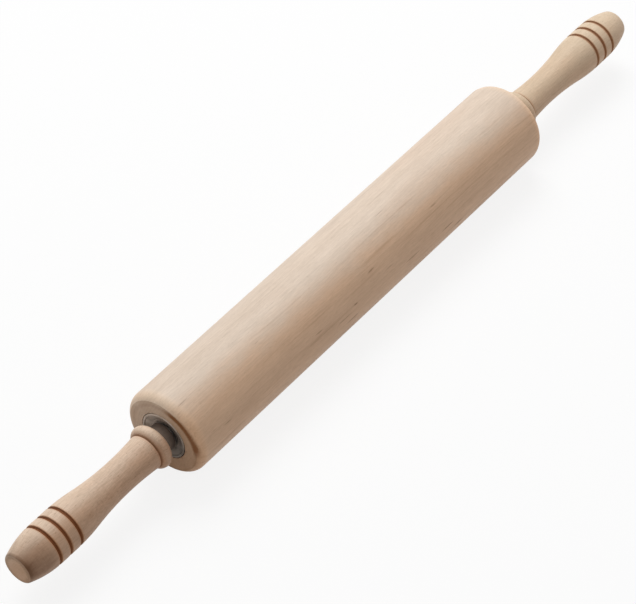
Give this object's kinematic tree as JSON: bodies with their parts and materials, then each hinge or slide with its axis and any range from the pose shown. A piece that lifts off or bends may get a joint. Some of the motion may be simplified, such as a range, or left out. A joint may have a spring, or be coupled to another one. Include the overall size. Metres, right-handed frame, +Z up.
{
  "type": "rolling pin",
  "caption": "Turned maple rolling pin: a free-spinning barrel on ball bearings, a steel rod through it and a grooved handle on each end.",
  "frame": {"origin": "middle of the pin, on the rod's centre line", "axes": "+X along the rod towards the right handle, +Z up, with the barrel resting on a surface at its lowest line"},
  "size_m": [0.656, 0.0636, 0.0636],
  "materials": {
    "barrel_maple": "fine-sanded, bare satin",
    "handle_maple": "turned and sanded, bare satin",
    "rod_steel": "drawn, plain",
    "cup_steel": "pressed, dull zinc",
    "ball_steel": "polished",
    "retainer_brass": "pressed, satin",
    "cone_steel": "turned, ground raceway",
    "nut_steel": "dark oiled steel",
    "insert_brass": "turned, satin",
    "ferrule_steel": "drawn, dull zinc"
  },
  "bodies": {
    "axle": {"axle_rod": "rod_steel", "left_bearing_cone": "cone_steel", "left_lock_washer": "nut_steel", "left_lock_nut": "nut_steel", "left_handle_insert": "insert_brass", "left_handle": "handle_maple", "left_handle_ferrule": "ferrule_steel", "right_bearing_cone": "cone_steel", "right_lock_washer": "nut_steel", "right_lock_nut": "nut_steel", "right_handle_insert": "insert_brass", "right_handle": "handle_maple", "right_handle_ferrule": "ferrule_steel"},
    "barrel": {"barrel": "barrel_maple", "left_bearing_cup": "cup_steel", "left_dust_cap": "cup_steel", "right_bearing_cup": "cup_steel", "right_dust_cap": "cup_steel"},
    "left_balls": {"left_ball_set": "ball_steel", "left_ball_retainer": "retainer_brass"},
    "right_balls": {"right_ball_set": "ball_steel", "right_ball_retainer": "retainer_brass"}
  },
  "joints": [
    {"name": "barrel_spin", "type": "hinge", "parent": "axle", "child": "barrel", "pos_m": [0, 0, 0], "axis": [1, 0, 0], "continuous": true},
    {"name": "left_balls_roll", "type": "hinge", "parent": "axle", "child": "left_balls", "pos_m": [-0.1825, 0, 0], "axis": [1, 0, 0], "continuous": true},
    {"name": "right_balls_roll", "type": "hinge", "parent": "axle", "child": "right_balls", "pos_m": [0.1825, 0, 0], "axis": [1, 0, 0], "continuous": true}
  ],
  "couplings": [
    {"joint": "left_balls_roll", "follows": "barrel_spin", "ratio": 0.5935},
    {"joint": "right_balls_roll", "follows": "barrel_spin", "ratio": 0.5935}
  ]
}
